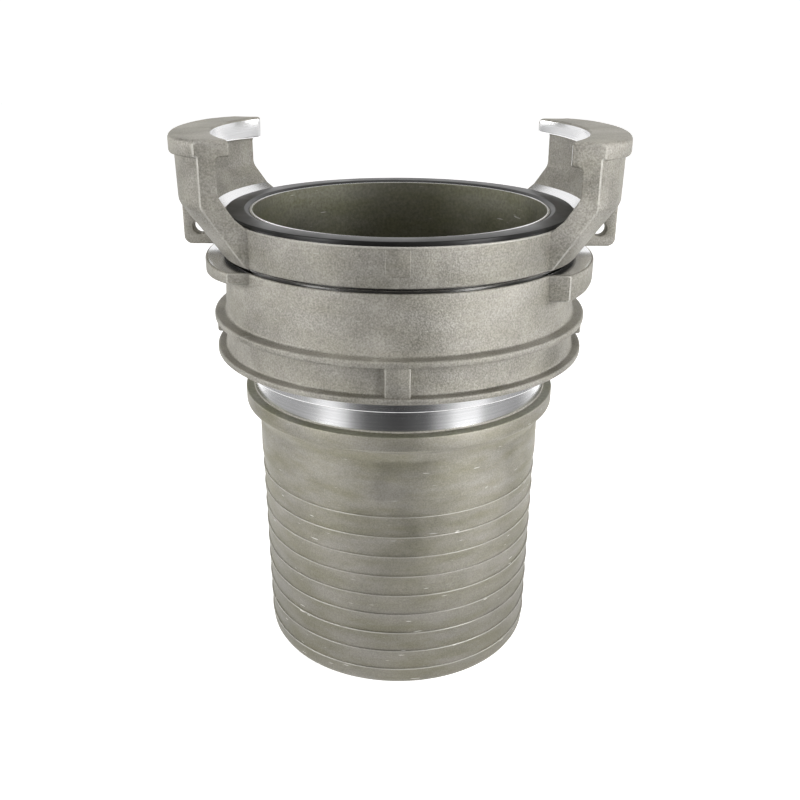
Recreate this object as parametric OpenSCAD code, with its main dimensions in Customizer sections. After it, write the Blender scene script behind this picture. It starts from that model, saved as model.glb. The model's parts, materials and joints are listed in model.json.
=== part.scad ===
// Symmetrical hose coupling with two hooks, a locking ring and a gripped hose tail.
// Millimetres, the axis on Z, the tail's free end at height 0, the hooks along X.

/* [Hose tail] */
// Radius of the waterway through the tail
bore_r = 50.5; // [46:0.1:54]
// Wall of the plain part of the tail
tail_wall = 5.7; // [4.5:0.1:8]
// Height of the tail from its free end to the collar
tail_h = 103; // [96:1:130]
// Number of grip edges
grip_n = 9; // [4:1:9]
// Height of the lowest grip edge
grip_start = 7.6; // [5:0.1:10]
// Distance between grip edges
grip_pitch = 8.49; // [7:0.01:8.8]
// How far the lowest grip edge lies inside the plain part's radius
grip_drop = 1.05; // [0.9:0.05:1.6]
// How much wider each grip edge is than the one below it
grip_growth = 0.11; // [0:0.01:0.13]
// Depth of the step above each grip edge
grip_step = 0.9; // [0.4:0.1:1.4]
// Length of the cone from the top grip to the plain part
tail_cone_h = 7; // [4:0.5:9]
// Width of the tail's end rim
rim_w = 1.1; // [0.6:0.1:2]
// Height of the rounding at the tail's end
rim_h = 2.6; // [1:0.1:4]
// Flare of the waterway at the tail's end
mouth_flare = 0.7; // [0.4:0.1:1.2]

/* [Collar and neck] */
// How far the collar stands out from the tail
collar_over = 5; // [3:0.1:6]
// Height of the collar
collar_h = 7; // [5:0.5:10]
// Edge rounding of the collar
collar_edge = 1.4; // [0.5:0.1:2]
// How far the turned neck stands out from the tail
neck_over = 1.6; // [1:0.1:3]
// Height of the turned neck
neck_h = 9.6; // [7:0.1:14]

/* [Skirt and head] */
// How far the turned skirt stands out from the neck
skirt_over = 4.7; // [4:0.1:7]
// Height of the skirt below the retaining wire
land_h = 3.4; // [2:0.1:5]
// How far the head stands out from the skirt
head_over = 3.4; // [2.6:0.1:5]
// Height of the head from its underside to its face
head_h = 13.8; // [12:0.1:18]
// How much wider the head's bore is than the tail's
bore_step = 4.8; // [3:0.1:5.4]
// Depth of the head's bore below the face
head_bore_h = 28; // [22:1:34]
// Length of the cone between the two bores
bore_cone_h = 27; // [20:1:30]
// Width of the metal lip inside the gasket
lip_w = 1.3; // [1:0.1:1.6]
// How far the metal lip stands above the face
lip_h = 0.9; // [0.4:0.1:1.2]
// Edge break of the head
head_edge = 0.5; // [0.2:0.1:1]
// Width of the cast reference pads on head and ring
mark_w = 8.7; // [6:0.1:11]
// Height of the reference pad on the head
mark_h = 9; // [6:0.5:10]
// How far the head's reference pad stands out
mark_t = 0.5; // [0.3:0.1:0.8]

/* [Hooks] */
// Width of a hook and of a lobe across the hooks' direction
hook_w = 82; // [76:1:84]
// How far a hook's wall stands out from the head
hook_over = 16.1; // [14:0.1:19]
// Thickness of a hook's wall
hook_wall = 8.7; // [7:0.1:10]
// How far the lip reaches in from the wall, and the turned seat below it
lip_reach = 4.3; // [3:0.1:5]
// How far the sloped flank starts outside the head
flank_over = 1.3; // [0.6:0.1:3]
// Height of the sloped flank above the underside
flank_h = 20.9; // [17:0.1:23]
// Height of the turned seat above the face
seat_h = 3.2; // [2:0.1:5]
// Height above the face where the wall's inner slope ends
slope_h = 10.8; // [9:0.1:13]
// Height of the middle of the lip's underside above the face
grip_face_h = 22.7; // [21:0.1:24]
// Rise of the lip's underside across the hook
lip_rise = 2.8; // [1:0.1:4]
// Height of the hook's top above the face
hook_h = 29.6; // [28:0.1:33]
// How far the top plate stands out from the hook's wall
cap_over = 1.9; // [1:0.1:3]
// Thickness of the top plate at its outer rim
cap_t = 6; // [5:0.1:7]
// Edge rounding of the top plate
cap_edge = 1.8; // [0.5:0.1:2.4]
// Corner rounding of the top plate
cap_corner_r = 8.5; // [5:0.5:10]
// Corner rounding of a hook's wall
corner_r = 7; // [4:0.5:9]
// Edge rounding of a hook's flank
flank_edge = 3; // [1:0.5:5]

/* [Ears] */
// How far an ear stands out from the hook's wall
ear_over = 0.2; // [0.1:0.1:2]
// Thickness of an ear
ear_t = 5; // [4:0.1:6]
// Height of the ear's lower edge above the head's underside
ear_lift = 0.3; // [0.2:0.1:1]
// Corner radius of an ear
ear_corner = 3; // [2:0.1:4]
// Radius of the ear's hole
ear_hole_r = 2.75; // [2.2:0.05:2.9]
// Distance of the hole's middle from the ear's outer edge
ear_hole_in = 6.4; // [5:0.1:6.6]
// Distance of the hole's middle from the ear's lower edge
ear_hole_up = 6.6; // [5:0.1:6.8]

/* [Locking ring] */
// Height of the locking ring
ring_h = 36.8; // [34:0.1:40]
// Wall of the ring at its top
ring_wall = 3.52; // [3:0.01:5]
// How much wider the ring is at its bottom
ring_taper = 1.5; // [0.5:0.1:2.5]
// How far the upper rib stands out from the ring's widest wall
rib_over = 3.9; // [3:0.1:5]
// How far the lower rib stands out from the ring's widest wall
low_rib_over = 3.4; // [2.5:0.1:4.5]
// Thickness of the upper rib
rib_t = 2.6; // [2:0.1:4]
// Thickness of the lower rib
low_rib_t = 2.3; // [2:0.1:4]
// Height of the upper rib's underside above the ring's bottom
rib_z = 12.9; // [11:0.1:15]
// How far a lobe stands out from the ring's top
lobe_over = 7.5; // [6.5:0.1:8.5]
// Thickness of a lobe at its middle
lobe_t = 6.8; // [6:0.1:9]
// Rise of a lobe's underside across its width
lobe_rise = 5.6; // [3:0.1:7]
// Width of a spanner lug
lug_w = 16; // [10:1:22]
// Depth of a spanner lug below the upper rib
lug_h = 7.6; // [5:0.1:9]
// How far a spanner lug stands out from the upper rib
lug_over = 0.4; // [0.2:0.1:1.5]
// Edge break of the ring
ring_edge = 0.5; // [0.2:0.1:1]

/* [Gasket and wire] */
// How far the gasket's rim lies inside the head's rim
gasket_in = 0.9; // [0.6:0.1:1.5]
// Thickness of the gasket above the face
gasket_t = 1.5; // [1:0.1:2.5]
// Width of the slope on the gasket's inner edge
gasket_bevel = 1.6; // [0.8:0.1:2.2]
// Distance from the metal lip to the middle of the gasket's groove
root_in = 4; // [3.4:0.1:4.4]
// Depth of the gasket's root in its groove
root_h = 5.4; // [4:0.1:7]
// Width of the groove at its mouth
root_w = 2.8; // [2:0.1:3.6]
// How much wider the groove's bottom is than its mouth
root_flare = 1.2; // [0.4:0.1:1.6]
// Radius of the retaining wire's section
wire_r = 1.25; // [1:0.05:1.5]
// Opening between the ends of the retaining wire in degrees
wire_gap = 10; // [5:1:20]

/* [Fits] */
// Gap on the radius between skirt and ring
ring_clear = 0.08; // [0.03:0.01:0.1]
// Gap between the ring and the retaining wire
rest_clear = 0.3; // [0.3:0.05:0.6]
// Lift that the ring has below the head
ring_play = 1.5; // [0.8:0.1:2]
// Gap between the gasket and the metal lip
gasket_clear = 0.1; // [0.05:0.05:0.2]

/* [Hidden] */
$fn = 96;
big = 400;
lap = 1;

// Heights, from the tail's free end up
z_collar = tail_h;
z_neck = z_collar + collar_h;
z_skirt = z_neck + neck_h;
z_wire = z_skirt + land_h + wire_r;
z_ring = z_wire + wire_r + rest_clear;
z_ring_top = z_ring + ring_h;
z_head = z_ring_top + ring_play;
z_face = z_head + head_h;
z_top = z_face + hook_h;
z_cone = z_face - head_bore_h - bore_cone_h;
grip_top_z = grip_start + grip_pitch * (grip_n - 1);

// Radii, from the waterway out
tail_r = bore_r + tail_wall;
grip_r = tail_r - grip_drop;
rim_r = bore_r + mouth_flare + rim_w;
collar_r = tail_r + collar_over;
neck_r = tail_r + neck_over;
skirt_r = neck_r + skirt_over;
head_r = skirt_r + head_over;
head_bore_r = bore_r + bore_step;
lip_r = head_bore_r + lip_w;
root_r = lip_r + root_in;
gasket_r = head_r - gasket_in;
flank_r = head_r + flank_over;
hook_r = head_r + hook_over;
hook_in_r = hook_r - hook_wall;
lip_in_r = hook_in_r - lip_reach;
cap_r = hook_r + cap_over;
hook_root_r = (root_r + root_w / 2 + root_flare / 2 + head_r) / 2;
ear_x = hook_r + ear_over;
ring_bore_r = skirt_r + ring_clear;
ring_top_r = ring_bore_r + ring_wall;
ring_low_r = ring_top_r + ring_taper;
rib_r = ring_low_r + rib_over;
low_rib_r = ring_low_r + low_rib_over;
lobe_r = ring_top_r + lobe_over;
lug_r = rib_r + lug_over;
half_w = hook_w / 2;
sector_a = 2 * asin(half_w / skirt_r) + 4;

function grip_edge(k) = grip_r + grip_growth * k;
function grip_points(k) = [
  [grip_edge(k), grip_start + grip_pitch * k],
  [grip_edge(k) - grip_step, grip_start + grip_pitch * k + grip_step / 4]
];

// Outline of the tail, point by point up its outside
tail_points = concat(
  [
    [bore_r - lap, 0],
    [rim_r, 0],
    [rim_r + (grip_r - rim_r) * 0.45, rim_h * 0.3],
    [rim_r + (grip_r - rim_r) * 0.8, rim_h]
  ],
  [for (k = [0:grip_n - 1]) each grip_points(k)],
  [
    [tail_r, grip_top_z + tail_cone_h],
    [tail_r, z_collar + lap],
    [bore_r - lap, z_collar + lap]
  ]
);

module collar_section() {
  polygon([
    [bore_r - lap, z_collar],
    [collar_r - collar_edge, z_collar],
    [collar_r - collar_edge * 0.3, z_collar + collar_edge * 0.3],
    [collar_r, z_collar + collar_edge],
    [collar_r, z_neck - collar_edge / 3],
    [collar_r - collar_edge / 3, z_neck],
    [bore_r - lap, z_neck]
  ]);
}

module upper_section() {
  polygon([
    [bore_r - lap, z_neck - lap],
    [neck_r, z_neck - lap],
    [neck_r, z_skirt],
    [skirt_r - head_edge, z_skirt],
    [skirt_r, z_skirt + head_edge],
    [skirt_r, z_head],
    [head_r - head_edge, z_head],
    [head_r, z_head + head_edge],
    [head_r, z_face - head_edge],
    [head_r - head_edge, z_face],
    [lip_r, z_face],
    [lip_r, z_face + lip_h],
    [bore_r - lap, z_face + lip_h]
  ]);
}

// The waterway: tail bore, cone and head bore, with the flare at the tail's end
module waterway_section() {
  polygon([
    [-lap, -lap],
    [bore_r + mouth_flare + lap, -lap],
    [bore_r + mouth_flare, 0],
    [bore_r, mouth_flare * 3],
    [bore_r, z_cone],
    [head_bore_r, z_cone + bore_cone_h],
    [head_bore_r, z_face + lip_h + lap],
    [-lap, z_face + lip_h + lap]
  ]);
}

module root_section(clear) {
  polygon([
    [root_r - root_w / 2, z_face + clear],
    [root_r - root_w / 2, z_face],
    [root_r - root_w / 2 - root_flare / 2, z_face - root_h],
    [root_r + root_w / 2 + root_flare / 2, z_face - root_h],
    [root_r + root_w / 2, z_face],
    [root_r + root_w / 2, z_face + clear]
  ]);
}

module turned_body() {
  rotate_extrude()
    intersection() {
      translate([0, -lap])
        square([big, big]);
      difference() {
        union() {
          polygon(tail_points);
          collar_section();
          upper_section();
        }
        waterway_section();
        root_section(lap);
        translate([skirt_r, z_wire])
          circle(r = wire_r);
      }
    }
}

// A plan with parallel sides and two rounded outer corners, whose arcs end at angle psi
module rounded_plan(x_c, psi, r) {
  y_c = half_w - r;
  half = [
    [x_c - half_w, half_w],
    [x_c, half_w],
    [x_c + r * cos(psi), y_c + r * sin(psi)],
    [x_c + (r + lap) * cos(psi), y_c + (r + lap) * sin(psi)],
    [x_c + half_w, y_c + (r + lap) * sin(psi)]
  ];
  polygon(concat(half, [for (i = [len(half) - 1:-1:0]) [half[i][0], -half[i][1]]]));
  for (side = [-1, 1])
    translate([x_c, side * y_c])
      circle(r = r);
}

// The upright plan that fits a hook or a lobe of outer radius r_out
module side_plan(r_out, r, z0, h) {
  y_c = half_w - r;
  translate([0, 0, z0])
    linear_extrude(height = h)
      rounded_plan(sqrt(pow(r_out - r, 2) - y_c * y_c), asin(y_c / (r_out - r)), r);
}

// The same plan leant along the sloped flank, to round the flank's two edges
module flank_plan(r) {
  x_low = sqrt(flank_r * flank_r - half_w * half_w);
  x_high = sqrt(hook_r * hook_r - half_w * half_w);
  lean = atan((x_high - x_low) / flank_h);
  slope = atan((hook_r - flank_r) / flank_h);
  round_a = asin(half_w * 2 / (hook_r + flank_r));
  out = cos(round_a) * cos(slope) * cos(lean) + sin(slope) * sin(lean);
  psi = atan2(sin(round_a) * cos(slope), out);
  translate([(x_low + x_high) / 2, 0, z_head + flank_h / 2])
    rotate([0, lean, 0])
      linear_extrude(height = hook_h * 4, center = true)
        rounded_plan(-r * (1 - sin(psi)) / cos(psi), psi, r);
}

// Everything above a face that rises across the hook, through (0, 0, z0)
module above_slope(z0, rise) {
  translate([0, 0, z0])
    rotate([atan(rise / hook_w), 0, 0])
      translate([0, -big / 2, 0])
        cube([big, big, big]);
}

module hook_wall_section() {
  polygon([
    [hook_root_r, z_head],
    [flank_r, z_head],
    [hook_r - 0.5, z_head + flank_h - lap * 0.7],
    [hook_r, z_head + flank_h + lap * 0.7],
    [hook_r, z_top - lap],
    [hook_in_r, z_top - lap],
    [hook_in_r, z_face + slope_h],
    [lip_in_r, z_face + seat_h],
    [lip_in_r, z_face],
    [hook_root_r, z_face]
  ]);
}

module cap_section() {
  polygon([
    [hook_in_r + lap, z_top - cap_t],
    [cap_r - cap_edge / 2, z_top - cap_t],
    [cap_r, z_top - cap_t + cap_edge / 2],
    [cap_r, z_top - cap_edge],
    [cap_r - cap_edge, z_top],
    [hook_in_r + lap, z_top]
  ]);
  translate([cap_r - cap_edge, z_top - cap_edge])
    circle(r = cap_edge);
}

module lip_section() {
  polygon([
    [lip_in_r, z_face + grip_face_h - lip_rise],
    [hook_in_r + lap * 2, z_face + grip_face_h - lip_rise],
    [hook_in_r + lap * 2, z_top],
    [lip_in_r + cap_edge / 3, z_top],
    [lip_in_r, z_top - cap_edge / 3]
  ]);
}

// A sector is enough: the plan cuts it to the hook's width
module turned() {
  rotate([0, 0, -sector_a / 2])
    rotate_extrude(angle = sector_a)
      children();
}

module hook() {
  intersection() {
    turned()
      hook_wall_section();
    side_plan(hook_r, corner_r, z_head, z_top - z_head);
    flank_plan(flank_edge);
  }
  intersection() {
    turned()
      cap_section();
    side_plan(cap_r, cap_corner_r, z_top - cap_t - lap, cap_t + lap * 2);
  }
  intersection() {
    turned()
      lip_section();
    side_plan(cap_r, cap_corner_r, z_face, hook_h + lap);
    above_slope(z_face + grip_face_h, lip_rise);
  }
}

// A plate in the middle of each hook's flank, pierced for a chain or a seal
module ear() {
  z_low = z_head + ear_lift;
  rotate([90, 0, 0])
    translate([0, 0, -ear_t / 2])
      linear_extrude(height = ear_t) {
        polygon([
          [flank_r - lap, z_low],
          [ear_x - ear_corner, z_low],
          [ear_x, z_low + ear_corner],
          [ear_x, z_head + flank_h],
          [hook_r - lap / 2, z_head + flank_h + lap * 2],
          [hook_r - lap * 2, z_head + flank_h + lap]
        ]);
        translate([ear_x - ear_corner, z_low + ear_corner])
          circle(r = ear_corner);
      }
}

module head_mark() {
  translate([-mark_w / 2, -head_r - mark_t, z_face - head_edge * 2 - mark_h])
    cube([mark_w, mark_t + lap * 2, mark_h]);
}

module coupling_body() {
  color([0.72, 0.71, 0.68])
    difference() {
      union() {
        turned_body();
        for (turn = [0, 180])
          rotate([0, 0, turn]) {
            hook();
            ear();
            head_mark();
          }
      }
      for (turn = [0, 180])
        rotate([0, 0, turn])
          translate([ear_x - ear_hole_in, 0, z_head + ear_lift + ear_hole_up])
            rotate([90, 0, 0])
              cylinder(r = ear_hole_r, h = ear_t + lap * 2, center = true);
    }
}

module ring_section() {
  polygon([
    [ring_bore_r + ring_edge, z_ring],
    [low_rib_r - ring_edge, z_ring],
    [low_rib_r, z_ring + ring_edge],
    [low_rib_r, z_ring + low_rib_t],
    [ring_low_r, z_ring + low_rib_t],
    [(ring_low_r * 2 + ring_top_r) / 3, z_ring + rib_z],
    [rib_r, z_ring + rib_z],
    [rib_r, z_ring + rib_z + rib_t],
    [(ring_low_r * 2 + ring_top_r) / 3, z_ring + rib_z + rib_t],
    [ring_top_r, z_ring_top - ring_edge],
    [ring_top_r - ring_edge, z_ring_top],
    [ring_bore_r + ring_edge, z_ring_top],
    [ring_bore_r, z_ring_top - ring_edge],
    [ring_bore_r, z_ring + ring_edge]
  ]);
}

module lobe() {
  mid_z = z_ring_top - lobe_t;
  intersection() {
    turned()
      polygon([
        [ring_bore_r + lap, mid_z - lobe_rise],
        [lobe_r, mid_z - lobe_rise],
        [lobe_r, z_ring_top - ring_edge],
        [lobe_r - ring_edge, z_ring_top],
        [ring_bore_r + lap, z_ring_top]
      ]);
    side_plan(lobe_r, ring_edge * 3, mid_z - lobe_rise - lap, lobe_t + lobe_rise + lap * 2);
    above_slope(mid_z, lobe_rise);
  }
}

module band(a, r, z0, h) {
  rotate([0, 0, -a / 2])
    rotate_extrude(angle = a)
      translate([ring_bore_r + lap, z0])
        square([r - ring_bore_r - lap, h]);
}

module locking_ring() {
  lug_a = 2 * asin(lug_w / 2 / lug_r);
  bar_a = 2 * asin(mark_w / 2 / low_rib_r);
  color([0.78, 0.77, 0.74])
    union() {
      rotate_extrude()
        ring_section();
      for (turn = [0, 180])
        rotate([0, 0, turn]) {
          lobe();
          band(lug_a, lug_r, z_ring + rib_z - lug_h, lug_h + rib_t / 2);
          rotate([0, 0, 90])
            band(bar_a, low_rib_r - ring_edge / 2, z_ring + low_rib_t / 2, rib_z - low_rib_t / 2 + rib_t / 2);
        }
    }
}

module gasket() {
  color([0.08, 0.08, 0.08])
    rotate_extrude()
      union() {
        root_section(gasket_t / 2);
        polygon([
          [lip_r + gasket_clear, z_face],
          [gasket_r, z_face],
          [gasket_r, z_face + gasket_t - 0.3],
          [gasket_r - 0.3, z_face + gasket_t],
          [lip_r + gasket_bevel, z_face + gasket_t],
          [lip_r + gasket_clear, z_face + gasket_t - gasket_bevel / 2]
        ]);
      }
}

module retaining_wire() {
  color([0.75, 0.76, 0.78])
    rotate([0, 0, 90 + wire_gap / 2])
      rotate_extrude(angle = 360 - wire_gap)
        translate([skirt_r, z_wire])
          circle(r = wire_r);
}

coupling_body();
locking_ring();
gasket();
retaining_wire();
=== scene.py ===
# %% [markdown]
# # A cast hose coupling with two hooks
#
# The real thing is an aluminium casting: a gripped hose tail below, a head with
# two lipped hooks above, and a loose locking ring that turns on a lathe-turned
# skirt between them. A black rubber ring is pressed into the face. This lesson
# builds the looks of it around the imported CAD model, which fixes every size.
# The coupling's sizes are written in millimetres and made metres by one value.
# The stage, the lamps and the camera are written in metres.

# %% Load the CAD frame
import json
import math

import bmesh
import bpy
from mathutils import Matrix, Vector

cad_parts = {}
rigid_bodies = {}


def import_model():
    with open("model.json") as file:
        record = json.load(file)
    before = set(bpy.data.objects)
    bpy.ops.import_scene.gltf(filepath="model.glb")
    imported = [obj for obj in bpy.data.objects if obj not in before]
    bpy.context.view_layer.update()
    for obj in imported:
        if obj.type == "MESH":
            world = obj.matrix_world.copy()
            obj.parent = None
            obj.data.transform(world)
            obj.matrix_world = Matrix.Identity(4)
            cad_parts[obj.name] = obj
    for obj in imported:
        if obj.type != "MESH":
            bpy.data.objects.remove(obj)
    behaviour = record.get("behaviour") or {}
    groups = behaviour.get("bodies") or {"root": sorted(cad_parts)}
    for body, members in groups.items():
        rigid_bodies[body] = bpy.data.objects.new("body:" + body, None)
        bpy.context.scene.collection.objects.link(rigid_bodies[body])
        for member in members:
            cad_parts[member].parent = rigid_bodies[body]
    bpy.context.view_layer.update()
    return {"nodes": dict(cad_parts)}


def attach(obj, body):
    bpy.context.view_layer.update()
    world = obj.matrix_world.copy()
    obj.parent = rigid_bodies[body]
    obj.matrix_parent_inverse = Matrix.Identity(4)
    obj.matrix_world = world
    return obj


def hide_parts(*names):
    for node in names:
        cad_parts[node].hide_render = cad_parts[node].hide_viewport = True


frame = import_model()
MM = 0.001
print("CAD nodes:", sorted(frame["nodes"]))

# %% [markdown]
# ## Helpers for objects
#
# A casting is smooth all over and crisp only where two faces meet steeply, such
# as at a lip or a step. Blender can find those edges by their angle, and the
# edges that were marked crisp one by one are put back afterwards. Curves and
# modifiers are worked out once and kept as plain meshes.

# %% Object helpers
CRISP_ANGLE = 32


def link_object(name, data):
    thing = bpy.data.objects.new(name, data)
    bpy.context.scene.collection.objects.link(thing)
    return thing


def smooth_by_angle(mesh, degrees=CRISP_ANGLE):
    """Smooth faces, crisp at steep edges and at those that were crisp before."""
    crisp = [edge.index for edge in mesh.edges if edge.use_edge_sharp]
    mesh.shade_smooth()
    mesh.set_sharp_from_angle(angle=math.radians(degrees))
    for i in crisp:
        mesh.edges[i].use_edge_sharp = True


def plain_mesh(thing):
    """The mesh that an object shows once its curve or its modifiers are worked out."""
    bpy.context.view_layer.update()
    ready = thing.evaluated_get(bpy.context.evaluated_depsgraph_get())
    return bpy.data.meshes.new_from_object(ready)


print("edges are crisp from", CRISP_ANGLE, "degrees up")

# %% [markdown]
# ## Camera
#
# The camera was fitted to the ellipses of the gasket, the ribs and the tail. It
# stands about 36 cm in front of the axis and 25 cm above the floor, and looks
# down at 22 degrees. A lens of 43 mm gives the photograph's perspective.

# %% Camera
CAMERA_PLACE = (0.0022, -0.3634, 0.24545)
VIEW_TURN, VIEW_DOWN, VIEW_ROLL = 0.27, 21.885, 0.3227
SENSOR_WIDTH, LENS = 36, 42.955

camera_data = bpy.data.cameras.new("camera")
camera_data.sensor_width = SENSOR_WIDTH
camera_data.lens = LENS
camera = link_object("camera", camera_data)
aim = (
    Matrix.Rotation(math.radians(VIEW_TURN), 4, "Z")
    @ Matrix.Rotation(math.radians(90 - VIEW_DOWN), 4, "X")
    @ Matrix.Rotation(math.radians(VIEW_ROLL), 4, "Z")
)
camera.matrix_world = Matrix.Translation(CAMERA_PLACE) @ aim
bpy.context.scene.camera = camera
bpy.context.scene.view_settings.view_transform = "Standard"
print("camera height", round(camera.matrix_world.translation.z, 3), "m")

# %% [markdown]
# ## Helpers for node trees
#
# A finish is a small circuit of nodes. These helpers add a node with its
# settings and values, join two sockets, work two values into one, and spread a
# value over a new range. They keep each finish down to the lines that matter.

# %% Node helpers
def add_node(tree, kind, values=None, **settings):
    node = tree.nodes.new(kind)
    for key, value in settings.items():
        setattr(node, key, value)
    for key, value in (values or {}).items():
        node.inputs[key].default_value = value
    return node


def join(tree, source, target):
    tree.links.new(source, target)


def maths(tree, operation, first, second, clamp=False):
    """Work two values into one; each is a socket or a plain number."""
    node = add_node(tree, "ShaderNodeMath", operation=operation, use_clamp=clamp)
    for side, value in zip(node.inputs, (first, second)):
        if isinstance(value, float):
            side.default_value = value
        else:
            join(tree, value, side)
    return node.outputs[0]


def spread_value(tree, source, start, stop, low=0.0, high=1.0):
    """While source goes from start to stop, the result goes from low to high."""
    node = add_node(tree, "ShaderNodeMapRange")
    for label, value in (("From Min", start), ("From Max", stop), ("To Min", low), ("To Max", high)):
        node.inputs[label].default_value = value
    join(tree, source, node.inputs["Value"])
    return node.outputs[0]


print("node helpers:", [helper.__name__ for helper in (add_node, join, maths, spread_value)])

# %% [markdown]
# ## Coordinates for patterns
#
# Grain, rings and stains have to stay where they are on the metal when the ring
# turns. Object coordinates do that, because they move with the piece. The
# pieces are built at the origin, so these coordinates are plain metres.

# %% Pattern helpers
def object_place(tree):
    return add_node(tree, "ShaderNodeTexCoord").outputs["Object"]


def object_parts(tree, place):
    """X, Y and Z of a place, each as a socket of its own."""
    parts = add_node(tree, "ShaderNodeSeparateXYZ")
    join(tree, place, parts.inputs[0])
    return parts.outputs


def pattern_node(tree, kind, place, values=None, **settings):
    """A texture or mapping node that reads the given coordinates."""
    node = add_node(tree, kind, values, **settings)
    join(tree, place, node.inputs["Vector"])
    return node


print("pattern helpers:", [helper.__name__ for helper in (object_place, object_parts, pattern_node)])

# %% [markdown]
# ## Light of the room
#
# A studio's walls send a little light back from every side. A world of one
# pale, slightly warm tone stands for them. It stays weak, so that the lamps
# give the shapes their light and shade.

# %% Room light
ROOM_LIGHT = 0.21
ROOM_TINT = (1.0, 0.97, 0.9, 1)

world = bpy.data.worlds.new("studio")
bpy.context.scene.world = world
world.use_nodes = True
room = world.node_tree.nodes["Background"]
room.inputs["Color"].default_value = ROOM_TINT
room.inputs["Strength"].default_value = ROOM_LIGHT
print("room light:", ROOM_LIGHT)

# %% [markdown]
# ## White paper
#
# The photograph has a plain white ground. Paper lit until it is white would
# flood the metal with light from below. So this paper has two looks: for the
# camera and for reflections it glows white and takes some of the coupling's
# shadow, and for all other light it is a plain pale sheet.

# %% Paper
PALE_SHEET = (0.75, 0.75, 0.75, 1)


def paper_material(name, glow_strength, shade):
    """Glow is the sheet's own light, and shade is how much of light and shadow it shows."""
    material = bpy.data.materials.new(name)
    material.use_nodes = True
    tree = material.node_tree
    tree.nodes.clear()
    rays = add_node(tree, "ShaderNodeLightPath").outputs
    seen = maths(tree, "ADD", rays["Is Camera Ray"], rays["Is Glossy Ray"])
    seen = maths(tree, "ADD", seen, rays["Is Transmission Ray"], clamp=True)
    plain = add_node(tree, "ShaderNodeBsdfDiffuse", {"Color": PALE_SHEET})
    shadowed = add_node(tree, "ShaderNodeBsdfDiffuse", {"Color": (shade, shade, shade, 1)})
    glow_values = {"Color": (1, 1, 1, 1), "Strength": glow_strength}
    glow = add_node(tree, "ShaderNodeEmission", glow_values, name="glow")
    both = add_node(tree, "ShaderNodeAddShader")
    mix = add_node(tree, "ShaderNodeMixShader")
    join(tree, shadowed.outputs[0], both.inputs[0])
    join(tree, glow.outputs[0], both.inputs[1])
    join(tree, seen, mix.inputs[0])
    join(tree, plain.outputs[0], mix.inputs[1])
    join(tree, both.outputs[0], mix.inputs[2])
    join(tree, mix.outputs[0], add_node(tree, "ShaderNodeOutputMaterial").inputs[0])
    return material


FLOOR_PAPER = paper_material("white_floor", glow_strength=0.9, shade=0.6)
WALL_PAPER = paper_material("white_wall", glow_strength=1.0, shade=0.2)
print("papers:", FLOOR_PAPER.name, WALL_PAPER.name)

# %% [markdown]
# ## Glowing grey cloth
#
# The turned neck is a mirror. In the photograph it shows a bright streak on the
# left and one on the right of a dark middle, so it looked at dark and pale
# things round the camera. A cloth beside the paper takes their part: nearly
# black in front, with a soft pale patch on each side. Its tone follows the
# bearing round the axis, where 0 degrees is in front and 90 is on the right. It
# is painted on the floor, so it stays in place when the camera moves.

# %% Cloth
# The cloth glows with these tones. Its pale patches light the metal through its reflections, as lamps
# would.
CLOTH_GLOW_TONES = [
    (-128, 0.82), (-102, 0.42), (-78, 0.38), (-61, 0.44), (-53, 0.88), (-45, 1.0),
    (-38, 0.74), (-31, 0.26), (-21, 0.10), (0, 0.055), (19, 0.10), (32, 0.45),
    (42, 0.97), (57, 1.0), (65, 0.45), (96, 0.34), (120, 0.78),
]


def cloth_material():
    material = paper_material("glowing_cloth", glow_strength=1.0, shade=0.0)
    tree = material.node_tree
    parts = object_parts(tree, object_place(tree))
    toward = maths(tree, "MULTIPLY", parts["Y"], -1.0)
    bearing = maths(tree, "ARCTAN2", parts["X"], toward)
    tones = add_node(tree, "ShaderNodeValToRGB")
    join(tree, spread_value(tree, bearing, -math.pi, math.pi), tones.inputs[0])
    ramp = tones.color_ramp
    ramp.interpolation = "EASE"
    while len(ramp.elements) < len(CLOTH_GLOW_TONES):
        ramp.elements.new(0.5)
    for stop, (angle, tone) in zip(ramp.elements, CLOTH_GLOW_TONES):
        stop.position = (angle + 180) / 360
        stop.color = (tone, tone, tone, 1)
    # Painted light: the tones set the cloth's own glow.
    join(tree, tones.outputs[0], tree.nodes["glow"].inputs["Color"])
    return material


CLOTH = cloth_material()
print("cloth tones:", len(CLOTH_GLOW_TONES))

# %% [markdown]
# ## Floor and wall
#
# The paper is a wedge that just fills the camera's view, and the cloth covers
# the floor round it. Both are faces of one sheet, so they meet without a gap.

# %% Floor and wall
FLOOR_HALF, FLOOR_NEAR, WALL_Y, WALL_TOP = 3.0, -2.0, 2.6, 3.0
PAPER_EDGE = [(1.25, WALL_Y), (0.15, -0.128)]
# Corners 0 to 3 go round the paper, 4 and 5 are the cloth's near edge, 6 and 7 the wall's foot.
FLOOR_FACES = [(3, 2, 1, 0), (3, 6, 4, 2), (2, 4, 5, 1), (1, 5, 7, 0)]


def flat_sheet(name, corners, faces, materials):
    """The first face gets the first material, and all further faces the last one."""
    mesh = bpy.data.meshes.new(name)
    mesh.from_pydata(corners, [], faces)
    for material in materials:
        mesh.materials.append(material)
    for face in mesh.polygons:
        face.material_index = min(face.index, len(materials) - 1)
    link_object(name, mesh)


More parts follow.
